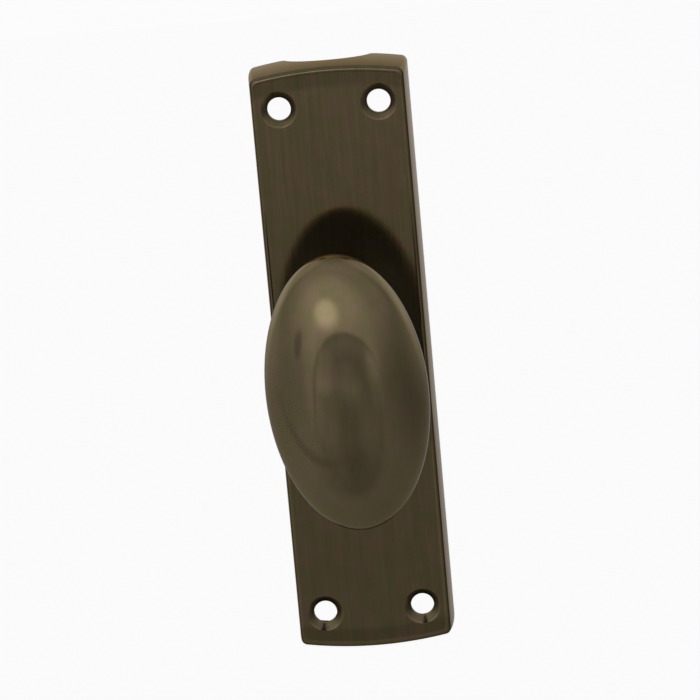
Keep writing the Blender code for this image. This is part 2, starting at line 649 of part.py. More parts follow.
def knob_sections():
    """The knob as (depth, half-axis across, half-axis along): foot, cove, neck, coved back, rim and dome."""
    chamfer = FOOT_EDGE / 4
    sections = [(FOOT_DEPTH, FOOT_RADIUS - chamfer, FOOT_RADIUS - chamfer)]
    sections.append((FOOT_DEPTH + chamfer, FOOT_RADIUS, FOOT_RADIUS))
    start = FOOT_DEPTH + FOOT_EDGE
    for i in range(6):
        a = math.radians(90 * i / 5)
        radius = NECK_RADIUS + (FOOT_RADIUS - NECK_RADIUS) * (1 - math.sin(a))
        sections.append((start + NECK_BLEND * (1 - math.cos(a)), radius, radius))
    wide = KNOB_WIDTH / 2
    tall = KNOB_LENGTH / 2
    back = KNOB_PLANE - RIM_ROUND
    for i in range(9):
        a = math.radians(90 * i / 8)
        across = NECK_RADIUS + (wide - RIM_ROUND - NECK_RADIUS) * (1 - math.cos(a))
        along = NECK_RADIUS + (tall - RIM_ROUND - NECK_RADIUS) * (1 - math.cos(a))
        sections.append((back - BACK_COVE * (1 - math.sin(a)), across, along))
    for i in range(1, 5):
        a = math.radians(90 * i / 4)
        inward = RIM_ROUND * (1 - math.sin(a))
        sections.append((KNOB_PLANE - RIM_ROUND * math.cos(a), wide - inward, tall - inward))
    for i in range(1, 13):
        a = math.radians(88 * i / 12)
        sections.append((KNOB_PLANE + DOME_DEPTH * math.sin(a), wide * math.cos(a), tall * math.cos(a)))
    return sections


def make_knob():
    """Oval knob cast with its neck and foot, leaning a little at rest, with a square socket and a pin hole."""
    rings = []
    for depth, across, along in knob_sections():
        points = []
        for i in range(KNOB_STEPS):
            a = 2 * math.pi * i / KNOB_STEPS
            x = across * math.cos(a)
            z = along * math.sin(a)
            lean_x = x * math.cos(KNOB_LEAN) + z * math.sin(KNOB_LEAN)
            lean_z = z * math.cos(KNOB_LEAN) - x * math.sin(KNOB_LEAN)
            points.append((lean_x, -depth, lean_z))
        rings.append(points)
    knob = as_part(stacked(rings), "knob", (0.24, 0.185, 0.12), 0.28)
    half = SQUARE_HOLE / 2
    socket = block((-half, 0, -half), (half, SPINDLE_END + CLEAR, half))
    pocket = round_bar(WAVE_OUTER + CLEAR, 0, WAVE_FRONT + CLEAR)
    hole = cross_bar(PIN_RADIUS + CLEAR, FOOT_RADIUS, PIN_DEPTH)
    combine(knob, [socket, pocket, hole], "DIFFERENCE")
    pin = cross_bar(PIN_RADIUS, NECK_RADIUS - PIN_SINK, PIN_DEPTH)
    return [knob, as_part(pin, "knob_pin", (0.45, 0.44, 0.42), 0.35)]


make_case()
make_back_plate()
make_plate_screws()
make_rack("upper", 0)
make_rack("lower", math.radians(180))
make_brake_spring("left", -1)
make_brake_spring("right", 1)
make_bearings()
carrier("knob_axis", [make_pinion(), make_spindle(), make_wave_washer(), *make_knob()])
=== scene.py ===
import math

import bmesh
import bpy
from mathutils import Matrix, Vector


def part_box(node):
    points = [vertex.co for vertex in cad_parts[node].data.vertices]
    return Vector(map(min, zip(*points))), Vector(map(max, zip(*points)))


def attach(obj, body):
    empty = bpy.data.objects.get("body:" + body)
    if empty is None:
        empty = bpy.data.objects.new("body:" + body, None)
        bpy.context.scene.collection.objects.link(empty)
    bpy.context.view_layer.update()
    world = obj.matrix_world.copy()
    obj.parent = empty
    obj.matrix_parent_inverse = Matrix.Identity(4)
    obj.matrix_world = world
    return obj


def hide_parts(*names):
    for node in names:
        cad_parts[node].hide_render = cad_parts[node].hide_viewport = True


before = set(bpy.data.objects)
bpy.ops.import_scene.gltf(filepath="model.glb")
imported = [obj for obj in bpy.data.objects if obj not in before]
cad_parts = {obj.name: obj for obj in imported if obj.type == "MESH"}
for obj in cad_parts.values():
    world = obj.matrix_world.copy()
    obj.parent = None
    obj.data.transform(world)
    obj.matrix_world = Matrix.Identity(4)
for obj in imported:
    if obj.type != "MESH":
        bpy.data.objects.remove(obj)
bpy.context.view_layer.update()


# The case. One casting in brass, filed to its moulded edge, brushed along its length and darkened to
# an antique bronze. The wood screws hold it to the window's stile through its four corner holes.

class Sock:
    """One output of a shader node. Arithmetic on it adds the Math node that does the sum."""

    def __init__(self, output):
        self.output = output
        self.tree = output.id_data

    def node(self, kind, settings, inputs, output=0):
        """Any node: its type, its settings, which are set first, and its inputs' values or links."""
        made = self.tree.nodes.new("ShaderNode" + kind)
        for name, value in settings.items():
            setattr(made, name, value)
        live = [socket for socket in made.inputs if socket.enabled]
        for name, value in inputs.items():
            socket = live[name] if isinstance(name, int) else next(s for s in live if s.name == name)
            plug(socket, value)
        return Sock([socket for socket in made.outputs if socket.enabled][output])

    def maths(self, operation, other, swapped=False):
        pair = (other, self) if swapped else (self, other)
        return self.node("Math", {"operation": operation}, dict(enumerate(pair)))

    def __add__(self, other):
        return self.maths("ADD", other)

    def __mul__(self, other):
        return self.maths("MULTIPLY", other)

    def __sub__(self, other):
        return self.maths("SUBTRACT", other)

    def __rsub__(self, other):
        return self.maths("SUBTRACT", other, swapped=True)

    __radd__ = __add__
    __rmul__ = __mul__


def plug(socket, value):
    """Links a Sock to an input, or sets the input's own value."""
    if isinstance(value, Sock):
        value.tree.links.new(value.output, socket)
    elif isinstance(value, tuple) and len(socket.default_value) == 4:
        socket.default_value = (*value, 1)
    else:
        socket.default_value = value


def new_metal(name):
    """A metallic material, its shader and the place on the piece, in metres in the piece's own frame."""
    made = bpy.data.materials.new(name)
    made.use_nodes = True
    shader = made.node_tree.nodes["Principled BSDF"]
    shader.inputs["Metallic"].default_value = 1
    place = made.node_tree.nodes.new("ShaderNodeTexCoord").outputs["Object"]
    return made, shader, Sock(place)


def streaks(place, across, along):
    """Noise drawn out along the case's length: the size of its grain across and along, in metres."""
    stretch = (1 / across, 1 / across, 1 / along)
    drawn = place.node("VectorMath", {"operation": "MULTIPLY"}, {0: place, 1: stretch})
    return drawn.node("TexNoise", {}, {"Vector": drawn, "Scale": 1.0, "Detail": 3.0, "Roughness": 0.6})


def cloud(place, size, detail=3.0):
    """Soft blotches of one size, in metres."""
    grain = {"Vector": place, "Scale": 1 / size, "Detail": detail, "Roughness": 0.55}
    return place.node("TexNoise", {}, grain)


def ramp(value, start, end):
    """Rises smoothly from 0 to 1 as the value goes from start to end."""
    limits = {"From Min": start, "From Max": end, "To Min": 0.0, "To Max": 1.0}
    return value.node("MapRange", {"interpolation_type": "SMOOTHSTEP"}, {"Value": value, **limits})


def bronze(name, brown, olive, edge_tint, streaking, brush_depth, marks):
    """Brass darkened to antique bronze, in brown and olive blotches, and brushed along its length. The
    marks give, for a place on the piece, how much dark patina and painted shade lie there, and a band of
    painted shade."""
    made, shader, place = new_metal(name)
    coarse = streaks(place, 0.0009, 0.030)
    fine = streaks(place, 0.00028, 0.014)
    blotch = cloud(place, 0.0035, 4.0)
    mirrored = place.node("VectorMath", {"operation": "ABSOLUTE"}, {0: place})
    patina_and_painted_shade, painted_end_shade = marks(*(mirrored.node("SeparateXYZ", {}, {"Vector": mirrored}, i) for i in range(3)))
    blend = {"Factor": ramp(blotch, 0.38, 0.62), "A": brown, "B": olive}
    tint = place.node("Mix", {"data_type": "RGBA"}, blend)
    brushed = ramp(coarse, 0.32, 0.68) + ramp(fine, 0.30, 0.70) - 1
    # The band of painted shade dims the brushed tint.
    shade = (1 + brushed * streaking) * (1 - painted_end_shade)
    bright = tint.node("VectorMath", {"operation": "SCALE"}, {"Vector": tint, "Scale": shade})
    # The dark patina colour, which also serves as painted shade, mixed in where the marks say.
    patina = {"Factor": patina_and_painted_shade, "A": bright, "B": (0.073, 0.071, 0.071)}
    plug(shader.inputs["Base Color"], patina_and_painted_shade.node("Mix", {"data_type": "RGBA"}, patina))
    rough = 0.085 + (coarse + fine - 1.0) * 0.05 + (blotch - 0.5) * 0.04 + patina_and_painted_shade * 0.28
    plug(shader.inputs["Roughness"], rough)
    relief = fine * 0.6 + coarse * 0.4
    bump = relief.node("Bump", {}, {"Strength": 1.0, "Distance": brush_depth, "Height": relief})
    plug(shader.inputs["Normal"], bump)
    plug(shader.inputs["Anisotropic"], 0.4)
    plug(shader.inputs["Specular Tint"], edge_tint)
    plug(shader.inputs["Metallic"], 0.970)
    return made


def arc(centre, radius, start, end, steps):
    """Points on a circle's arc, angles in degrees, both ends included."""
    turns = [math.radians(start + (end - start) * i / steps) for i in range(steps + 1)]
    return [(centre[0] + radius * math.cos(a), centre[1] + radius * math.sin(a)) for a in turns]


def skin(rings, closed=False):
    """A body skinned over rings of (x, depth, z), with flat ends unless the last ring meets the first."""
    bm = bmesh.new()
    loops = [[bm.verts.new((x, -depth, z)) for x, depth, z in ring] for ring in rings]
    for lower, upper in zip(loops, loops[1:] + loops[:1] * closed):
        for i, corner in enumerate(lower):
            j = (i + 1) % len(lower)
            bm.faces.new((corner, lower[j], upper[j], upper[i]))
    if not closed:
        bm.faces.new(loops[0])
        bm.faces.new(loops[-1])
    bmesh.ops.recalc_face_normals(bm, faces=bm.faces)
    mesh = bpy.data.meshes.new("body")
    bm.to_mesh(mesh)
    bm.free()
    made = bpy.data.objects.new("body", mesh)
    bpy.context.scene.collection.objects.link(made)
    return made


def sawn(outline, depth_0, depth_1):
    """An outline in x and z, made solid between two depths."""
    return skin([[(x, depth, z) for x, z in outline] for depth in (depth_0, depth_1)])


def block(x, depth, z):
    """A box from three spans, each with its ends in either order."""
    return sawn([(x[0], z[0]), (x[1], z[0]), (x[1], z[1]), (x[0], z[1])], depth[0], depth[1])


def turned(profile, x=0.0, z=0.0, steps=96, closed=False):
    """A body turned round an axis along Y: its profile as (radius, depth)."""
    rim = [(math.cos(a), math.sin(a)) for a in (2 * math.pi * i / steps for i in range(steps))]
    return skin([[(x + r * c, depth, z + r * s) for c, s in rim] for r, depth in profile], closed)


def corners(x, z):
    """Four places, one near each corner of the case."""
    return [(across * x, along * z) for across in (-1, 1) for along in (-1, 1)]


def carve(body, tools, operation):
    """Adds the tools to the body, or cuts them out of it, and removes them."""
    for tool in tools:
        boolean = body.modifiers.new("cut", "BOOLEAN")
        boolean.operation = operation
        boolean.object = tool
    graph = bpy.context.evaluated_depsgraph_get()
    body.data = bpy.data.meshes.new_from_object(body.evaluated_get(graph))
    body.modifiers.clear()
    for tool in tools:
        bpy.data.objects.remove(tool)
    return body


def fit(piece, name, material, body, node):
    """Names a piece, shades it, and puts it in the place of its CAD node."""
    piece.name = name
    piece.data.name = name
    piece.data.materials.clear()
    piece.data.materials.append(material)
    piece.data.shade_smooth()
    piece.data.set_sharp_from_angle(angle=math.radians(35))
    weighted = piece.modifiers.new("shading", "WEIGHTED_NORMAL")
    weighted.keep_sharp = True
    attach(piece, body)
    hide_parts(node)


plate_low, plate_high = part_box("back_plate")
rack_low, rack_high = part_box("lower_rack")
bush_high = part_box("front_bush")[1]
HALF_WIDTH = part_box("case")[1].x
HALF_LENGTH = 0.06425               # to the crown of an arched end
DEPTH = 0.0150                      # from the wall to the flat field
CLEAR = 0.0003                      # between two pieces that don't press on each other
THROUGH = 0.0010                    # how far a cut runs past a face
WALL = 0.0027
INNER = HALF_WIDTH - WALL
ROOF = DEPTH - 0.0028               # how deep the hollow goes
END_ARC = 0.0880                    # radius of the arched ends
END_SLOPE = 1.4                     # the moulding's reach at the ends, for 1 along the sides
CORNER = 0.0014
FIELD_X = HALF_WIDTH - 0.0020       # where the moulding ends and the flat field begins
FIELD_Z = HALF_LENGTH - 0.00355
HOLE_X = HALF_WIDTH - 0.00645
HOLE_Z = HALF_LENGTH - 0.0092
HOLE_RADIUS = 0.0025
SINK_RADIUS = 0.0038
GUIDE = -rack_low.y + CLEAR         # depth of the ribs that the racks slide along
BOSS_BACK = GUIDE + 0.0013
BLOCK_INNER = HOLE_X - HOLE_RADIUS
BLOCK_HEIGHT = 0.0050
TAP_RADIUS = 0.00165                # the plate screws' holes
TAP_DEPTH = 0.0073


def plan(inset, end_inset):
    """The case's plan, its sides and its arched ends moved in, with rounded corners."""
    end = END_ARC - end_inset
    middle = HALF_LENGTH - end_inset - end
    corner_x = HALF_WIDTH - inset - CORNER
    corner_z = middle + math.sqrt((end - CORNER) ** 2 - corner_x**2)
    meet = math.degrees(math.atan2(corner_z - middle, corner_x))
    quarter = arc((corner_x, corner_z), CORNER, 0, meet, 10) + arc((0, middle), end, meet, 90, 12)[1:]
    upper = quarter + [(-x, z) for x, z in reversed(quarter[:-1])]
    return upper + [(-x, -z) for x, z in upper]


def edge_moulding():
    """The filed edge as (inset, depth): drafted wall, ogee, and a bead just proud of the field."""
    draft = 0.0007
    ogee = 0.0007
    cove = 0.0004
    turn = 50
    bead = 0.0003
    lean = 10
    rise = 0.00007
    root = 0.0004
    land = 0.0008
    turn_c = math.cos(math.radians(turn))
    turn_s = math.sin(math.radians(turn))
    flank = math.degrees(math.acos(1 - rise / (bead + root)))
    cove_x = draft + ogee - (ogee + cove) * turn_c
    bead_x = cove_x + (cove + bead) * math.cos(math.radians(lean))
    bead_depth = DEPTH + rise - bead
    cove_depth = bead_depth + (cove + bead) * math.sin(math.radians(lean))
    root_x = bead_x + (bead + root) * math.sin(math.radians(flank))
    start = cove_depth - (ogee + cove) * turn_s
    points = [(draft * (i / 12) ** 2, start * i / 12) for i in range(12)]
    points += arc((draft + ogee, start), ogee, 180, 180 - turn, 7)
    points += arc((cove_x, cove_depth), cove, -turn, -lean, 6)[1:]
    points += arc((bead_x, bead_depth), bead, 180 - lean, 90 - flank, 12)[1:]
    points += arc((root_x, DEPTH + root), root, 270 - flank, 270, 4)[1:]
    return points + [(root_x + land, DEPTH)]


def rod_section():
    """The opening for a half-round rod, its mouth rounded at the wall plane."""
    radius = 0.0095
    mouth = 0.0015
    middle = 0.0078 - radius
    mouth_x = math.sqrt((radius + mouth) ** 2 - (mouth - middle) ** 2)
    meet = math.degrees(math.atan2(mouth - middle, mouth_x))
    right = [(mouth_x, -THROUGH)] + arc((mouth_x, mouth), mouth, 270, 180 + meet, 8)
    right += arc((0, middle), radius, meet, 90, 24)[1:]
    return right + [(-x, depth) for x, depth in reversed(right[:-1])]


def inner_walls():
    """What stands in the hollow: the boss, the racks' ribs, the screw blocks and the springs' stops."""
    side = INNER + THROUGH
    roof = ROOF + THROUGH
    back = -rack_high.y
    leg = rack_high.x
    block_top = plate_high.z
    block_foot = block_top - BLOCK_HEIGHT
    boss = 0.0097
    rib_x = leg - 0.0014
    rib_z = block_foot - 0.0100
    rib = 0.0010
    stop_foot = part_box("left_brake_spring")[1].z + CLEAR
    stop_top = stop_foot + 0.0018
    walls = [turned([(boss, BOSS_BACK), (boss, roof)])]
    for sign in (-1, 1):
        z = sign * rib_z
        walls.append(block((-side, side), (GUIDE, roof), (z - rib, z + rib)))
        x = sign * rib_x
        walls.append(block((x - rib, x + rib), (GUIDE, roof), (-rib_z, rib_z)))
        block_x = (sign * BLOCK_INNER, sign * side)
        stop_x = (sign * (leg + CLEAR), sign * side)
        for up in (-1, 1):
            walls.append(block(block_x, (back, roof), (up * block_foot, up * block_top)))
            walls.append(block(stop_x, (back, roof), (up * stop_foot, up * stop_top)))
    return walls


def drilling():
    """The bush's seat, the wood screws' countersunk holes, the tapped holes and the rod openings."""
    bush = 0.00731
    flange = bush_high.x + CLEAR
    cuts = [turned([(bush, 0), (bush, DEPTH + THROUGH)])]
    cuts.append(turned([(flange, 0), (flange, BOSS_BACK - CLEAR / 2)]))
    lip = 0.00012
    mouth = arc((SINK_RADIUS + lip, DEPTH - lip), lip, 135, 90, 4)
    sunk = [(HOLE_RADIUS, -THROUGH), (HOLE_RADIUS, DEPTH - (SINK_RADIUS - HOLE_RADIUS))] + mouth
    sunk.append((SINK_RADIUS + lip, DEPTH + THROUGH))
    for x, z in corners(HOLE_X, HOLE_Z):
        cuts.append(turned(sunk, x, z))
    for x, z in corners((BLOCK_INNER + INNER) / 2, plate_high.z - BLOCK_HEIGHT / 2):
        cuts.append(turned([(TAP_RADIUS, 0), (TAP_RADIUS, TAP_DEPTH)], x, z, 32))
    for sign in (-1, 1):
        ends = (sign * (HALF_LENGTH - 3 * WALL), sign * (HALF_LENGTH + THROUGH))
        cuts.append(skin([[(x, depth, z) for x, depth in rod_section()] for z in ends]))
    return cuts


def make_case():
    """The casting: skinned over its moulded edge, hollowed from the back, walled and drilled."""
    moulding = edge_moulding()
    case = skin([[(x, depth, z) for x, z in plan(inset, inset * END_SLOPE)] for inset, depth in moulding])
    carve(case, [sawn(plan(WALL, WALL), -THROUGH, ROOF)], "DIFFERENCE")
    carve(case, inner_walls(), "UNION")
    return carve(case, drilling(), "DIFFERENCE")


def case_patina_and_painted_shade(across, depth, along):
    """The brush misses the hollow back, which keeps its dark patina, and reaches only part of the
    countersinks and of the moulding's cove, which are rougher and darkened with painted shade.
    A band of painted shade lies along each end, just inside the moulding."""
    field = ramp(across, FIELD_X + 0.0003, FIELD_X - 0.0003)
    field = field * ramp(along, FIELD_Z + 0.0005, FIELD_Z - 0.0005)
    sunk = DEPTH - depth
    # Painted shade: the moulding's cove is darkened towards the patina colour.
    cove = ramp(sunk, 0.0008, 0.0005) * ramp(sunk, 0.0001, 0.0003) * (1 - field)
    # Painted shade: the countersinks are darkened, most deeply down; the hollow back keeps its patina.
    inside = field * ramp(sunk, 0.00005, 0.0004) * (0.35 + ramp(sunk, 0.0015, 0.0025) * 0.65)
    from_middle = along + (END_ARC - HALF_LENGTH)
    from_end = END_ARC - (across * across + from_middle * from_middle).maths("POWER", 0.5)
    # Painted shade: a dark band along each end, just inside the moulding.
    painted_end_shade = ramp(from_end, 0.0018, 0.0026) * ramp(from_end, 0.0058, 0.0044) * 0.20
    return inside + cove * 0.6, painted_end_shade


brushed_bronze = bronze(
    "brushed_bronze",
    brown=(0.395, 0.284, 0.165),
    olive=(0.338, 0.284, 0.136),
    edge_tint=(0.84, 0.70, 0.52),
    streaking=0.12,
    brush_depth=0.000005,
    marks=case_patina_and_painted_shade,
)
fit(make_case(), "moulded_case", brushed_bronze, "housing", "case")


# The knob. A brass casting turned and filed to an oval, polished by hand and darkened like the case. It
# carries its neck and foot in one piece, and a cross pin holds it on the spindle.

KNOB_AROUND = 160
KNOB_LEAN = math.radians(-2.5)
DOME = 0.0145
knob_low, knob_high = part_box("knob")
belly = -knob_low.y - DOME          # depth of the knob's widest part
pin_low, pin_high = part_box("knob_pin")
pin_depth = -(pin_low.y + pin_high.y) / 2
spindle_front = -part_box("spindle")[0].y


def knob_profile():
    """The knob as (depth, half across, half along): foot, cove, neck, coved back, rim and dome."""
    foot = -knob_high.y
    foot_radius = 0.00919
    foot_land = 0.0012
    cove = 0.0080
    neck = 0.00621
    edge = 0.0003
    wide = 0.01665
    tall = 0.02885
    rim = 0.0016
    back = 0.0105
    points = []
    for radius, rise in arc((foot_radius - edge, edge), edge, -90, 0, 5):
        points.append((foot + rise, radius, radius))
    for radius, rise in arc((0, 0), 1.0, 180, 90, 14):
        reach = neck + (foot_radius - neck) * (1 - rise)
        points.append((foot + foot_land + cove * (1 + radius), reach, reach))
    for spread, rise in arc((0, 0), 1.0, 0, 90, 24):
        across = neck + (wide - rim - neck) * (1 - spread)
        along = neck + (tall - rim - neck) * (1 - spread)
        points.append((belly - rim - back * (1 - rise), across, along))
    for drop, rise in arc((0, 0), 1.0, 0, 90, 10)[1:]:
        points.append((belly - rim * drop, wide - rim * (1 - rise), tall - rim * (1 - rise)))
    for shrink, rise in arc((0, 0), 1.0, 0, 89, 44)[1:]:
        points.append((belly + DOME * rise, wide * shrink, tall * shrink))
    return points


def make_knob():
    """Skins the knob, leaning a little as it rests, and cuts its socket, washer pocket and pin hole."""
    rim = [2 * math.pi * i / KNOB_AROUND for i in range(KNOB_AROUND)]
    lean_c = math.cos(KNOB_LEAN)
    lean_s = math.sin(KNOB_LEAN)
    rings = []
    for depth, across, along in knob_profile():
        oval = [(across * math.cos(a), along * math.sin(a)) for a in rim]
        rings.append([(x * lean_c + z * lean_s, depth, z * lean_c - x * lean_s) for x, z in oval])
    knob = skin(rings)
    socket = 0.00305
    pocket = 0.00709
    pocket_front = -knob_high.y + 0.0010
    pin_bore = 0.00155
    pin_reach = 0.012
    cuts = [block((-socket, socket), (0, spindle_front + CLEAR), (-socket, socket))]
    cuts.append(turned([(pocket, 0), (pocket, pocket_front)]))
    pin_hole = turned([(pin_bore, -pin_reach), (pin_bore, pin_reach)], steps=48)
    pin_hole.rotation_euler.z = math.radians(90)
    pin_hole.location.y = -pin_depth
    cuts.append(pin_hole)
    bpy.context.view_layer.update()
    return carve(knob, cuts, "DIFFERENCE")


def knob_patina_and_painted_shade(across, depth, along):
    """The coved back, behind the rim and down to the neck, is rougher and darker: its dark patina, with
    painted shade where it faces the case. It has no band of painted shade.
    """
    behind = belly - depth
    return ramp(behind, 0.0005, 0.0017) * ramp(behind, 0.0172, 0.0102), 0


polished_bronze = bronze(
    "polished_bronze",
    brown=(0.405, 0.303, 0.182),
    olive=(0.362, 0.302, 0.155),
    edge_tint=(0.82, 0.77, 0.68),
    streaking=0.05,
    brush_depth=0.000002,
    marks=knob_patina_and_painted_shade,
)
fit(make_knob(), "oval_knob", polished_bronze, "knob_group", "knob")


# The neck washer. A flat ring stamped from brass and darkened like the knob. It lies between the knob's
# foot and the case, and keeps the foot from scoring the case's face.

def ring(inner, outer, back, front, ease=0.00012):
    """A turned ring with broken edges, between two depths."""
    profile = [(inner + ease, back), (outer - ease, back), (outer, back + ease), (outer, front - ease)]
    profile += [(outer - ease, front), (inner + ease, front), (inner, front - ease), (inner, back + ease)]
    return turned(profile, closed=True)


HUB_BORE = 0.00581
washer_low, washer_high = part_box("neck_washer")
neck_washer = ring(HUB_BORE, washer_high.x, -washer_high.y, -washer_low.y)
fit(neck_washer, "flat_washer", polished_bronze, "housing", "neck_washer")


# The cross pin. A steel pin with domed ends, driven through the knob's neck and the spindle. It holds the
# knob on, and its ends lie just under the neck's skin.

def steel(name, colour, roughness):
    """Bare metal with a fine grain along its length and faint marks of oil and handling."""
    made, shader, place = new_metal(name)
    grain = streaks(place, 0.0003, 0.004)
    blotch = cloud(place, 0.006)
    shade = 0.80 + grain * 0.2 + blotch * 0.2
    blend = {"Factor": shade, "A": (0, 0, 0), "B": colour}
    plug(shader.inputs["Base Color"], shade.node("Mix", {"data_type": "RGBA"}, blend))
    plug(shader.inputs["Roughness"], roughness + (blotch - 0.5) * 0.15)
    relief = {"Strength": 1.0, "Distance": 0.00001, "Height": grain}
    plug(shader.inputs["Normal"], grain.node("Bump", {}, relief))
    return made


machined_steel = steel("machined_steel", (0.58, 0.57, 0.55), 0.33)
pin_radius = pin_high.z
tip = 0.0006
dome = [(pin_high.x - tip * (1 - math.sin(a)), pin_radius * math.cos(a)) for a in (0, 0.3, 0.6, 0.9, 1.2)]
pin_profile = [(-x, radius) for x, radius in reversed(dome)] + dome
pin_turns = [2 * math.pi * i / 48 for i in range(48)]
pin = skin([[(x, pin_depth + r * math.cos(a), r * math.sin(a)) for a in pin_turns] for x, r in pin_profile])
fit(pin, "cross_pin", machined_steel, "knob_group", "knob_pin")


# The wave washer. A ring of blued spring steel, bent into three waves. It sits in the knob's foot and
# takes up the play between the knob and the case.

def eased(node, name, material, body, ease=0.00010):
    """A piece with the CAD node's own form, its flat faces made whole and its edges broken by a file."""
    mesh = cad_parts[node].data.copy()
    bm = bmesh.new()
    bm.from_mesh(mesh)
    bmesh.ops.remove_doubles(bm, verts=bm.verts, dist=0.000001)
    bmesh.ops.dissolve_limit(bm, angle_limit=math.radians(0.5), verts=bm.verts, edges=bm.edges)
    bm.to_mesh(mesh)
    bm.free()
    piece = bpy.data.objects.new(name, mesh)
    bpy.context.scene.collection.objects.link(piece)
    bevel = piece.modifiers.new("broken_edges", "BEVEL")
    bevel.width = ease
    bevel.segments = 2
    bevel.limit_method = "ANGLE"
    bevel.angle_limit = math.radians(50)
    fit(piece, name, material, body, node)


spring_blue = steel("blued_spring_steel", (0.22, 0.25, 0.33), 0.28)
eased("wave_washer", "sprung_washer", spring_blue, "knob_group", 0.00005)


# The spindle. A square steel bar with a round flange at its back end. It carries the knob's turn to the
# pinion, and the flange bears on the back of the pinion, so the knob can't be pulled off.

eased("spindle", "square_spindle", machined_steel, "knob_group", 0.00020)


# The pinion. Twelve teeth milled in steel, with a hub in front and a square hole for the spindle. It
# throws the two racks in opposite directions.

eased("pinion", "toothed_pinion", machined_steel, "knob_group", 0.00008)


# The bearings. A flanged brass bush is pressed into the case's boss and carries the pinion's hub. A brass
# washer, let into the back plate, carries the pinion from behind.

def bush_profile():
    """The bush as (radius, depth): the flange behind, and the sleeve out to the case's face."""
    sleeve = 0.00701
    edge = 0.00012
    flange = bush_high.x
    back = -bush_high.y
    front = back + 0.0010
    outside = [(HUB_BORE + edge, back), (flange - edge, back), (flange, back + edge)]
    outside += [(flange, front - edge), (flange - edge, front), (sleeve, front), (sleeve, DEPTH)]
    return outside + [(HUB_BORE + edge, DEPTH), (HUB_BORE, DEPTH - edge), (HUB_BORE, back + edge)]


turned_brass = steel("turned_brass", (0.83, 0.62, 0.30), 0.30)
bush = turned(bush_profile(), closed=True)
fit(bush, "brass_bush", turned_brass, "housing", "front_bush")
SPINDLE_BORE = 0.00479
thrust_low, thrust_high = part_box("thrust_washer")
thrust = ring(SPINDLE_BORE, thrust_high.x, -thrust_high.y, -thrust_low.y, 0.00008)
fit(thrust, "brass_thrust_washer", turned_brass, "housing", "thrust_washer")


# The racks. Each is sawn and milled from flat steel: a toothed leg, a wider bar and a thinner tongue.
# They slide between the case's ribs and the back plate, one on each side of the pinion.

eased("upper_rack", "upper_toothed_rack", machined_steel, "upper_drive")
eased("lower_rack", "lower_toothed_rack", machined_steel, "lower_drive")


# The pegs. A turned steel peg is riveted into each rack's tongue from the front. The end of the window's
# rod has a hole that hooks on it.

peg_low, peg_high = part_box("upper_rod_peg")


def peg(z):
    """Rivet head at the back, shank through the tongue, and the peg's chamfered head in front."""
    rivet = 0.0022
    shank = 0.0015
    head = 0.0023
    edge = 0.0001
    chamfer = 0.0003
    back = -rack_high.y
    neck = back + 0.0007
    seat = back + 0.0038
    top = -peg_low.y
    shoulder = top - edge
    profile = [(rivet - edge, back), (rivet, back + edge), (shank, neck), (shank, seat)]
    profile += [(head - edge, seat), (head, seat + edge), (head, shoulder - chamfer)]
    profile += [(head - chamfer, shoulder), (0.0018, top)]
    return turned(profile, 0, z, 64)


peg_z = (peg_low.z + peg_high.z) / 2
fit(peg(peg_z), "upper_peg", machined_steel, "upper_drive", "upper_rod_peg")
fit(peg(-peg_z), "lower_peg", machined_steel, "lower_drive", "lower_rod_peg")


# The brake springs. Two bowed leaves of blued spring steel. The middle of each bears on a rack's back and
# its ends on the case's side wall, so the rods stay where the knob leaves them.

def leaf(sign):
    """A leaf bowed to an arc, between two stops of the case."""
    low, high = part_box("right_brake_spring")
    thick = 0.0004
    half = 0.0120
    rise = high.x - low.x - thick
    radius = (half**2 + rise**2) / (2 * rise)
    centre = (low.x + thick + radius, 0)
    reach = math.degrees(math.asin(half / radius))
    outline = arc(centre, radius + thick, 180 - reach, 180 + reach, 48)
    outline += arc(centre, radius, 180 + reach, 180 - reach, 48)
    return sawn([(sign * x, z) for x, z in outline], -high.y, -low.y)


fit(leaf(-1), "left_leaf", spring_blue, "housing", "left_brake_spring")
fit(leaf(1), "right_leaf", spring_blue, "housing", "right_brake_spring")


# The back plate. Blanked from rolled strip and zinc plated. It closes the mechanism flush with the case's
# rim, with four countersunk holes for its screws and a recess for the thrust washer.

def make_plate():
    """The strip with its rounded corners, broken edges, holes and recess."""
    thick = -plate_low.y
    corner = 0.0015
    ease = 0.00015
    x = plate_high.x - corner
    z = plate_high.z - corner
    rings = []
    for inset, depth in ((ease, 0), (0, ease), (0, thick - ease), (ease, thick)):
        outline = []
        for centre, start in (((x, z), 0), ((-x, z), 90), ((-x, -z), 180), ((x, -z), 270)):
            outline += arc(centre, corner - inset, start, start + 90, 10)
        rings.append([(across, depth, along) for across, along in outline])
    sink = 0.0027
    recess = thrust_high.x + CLEAR
    cuts = [turned([(recess, -thrust_high.y - CLEAR), (recess, thick + THROUGH)])]
    sunk = [(sink + THROUGH, -THROUGH), (TAP_RADIUS, sink - TAP_RADIUS), (TAP_RADIUS, thick + THROUGH)]
    for place in screw_places:
        cuts.append(turned(sunk, *place, 64))
    return carve(skin(rings), cuts, "DIFFERENCE")


screw_low, screw_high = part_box("plate_screw_1")
screw_x = (screw_low.x + screw_high.x) / 2
screw_z = (screw_low.z + screw_high.z) / 2
screw_places = [(screw_x, screw_z), (-screw_x, screw_z), (-screw_x, -screw_z), (screw_x, -screw_z)]
plated_steel = steel("zinc_plated_strip", (0.72, 0.71, 0.69), 0.38)
fit(make_plate(), "steel_back_plate", plated_steel, "housing", "back_plate")


# The plate screws. Slotted countersunk machine screws in steel, with a rolled thread. They go through the
# back plate into the four blocks of the case.

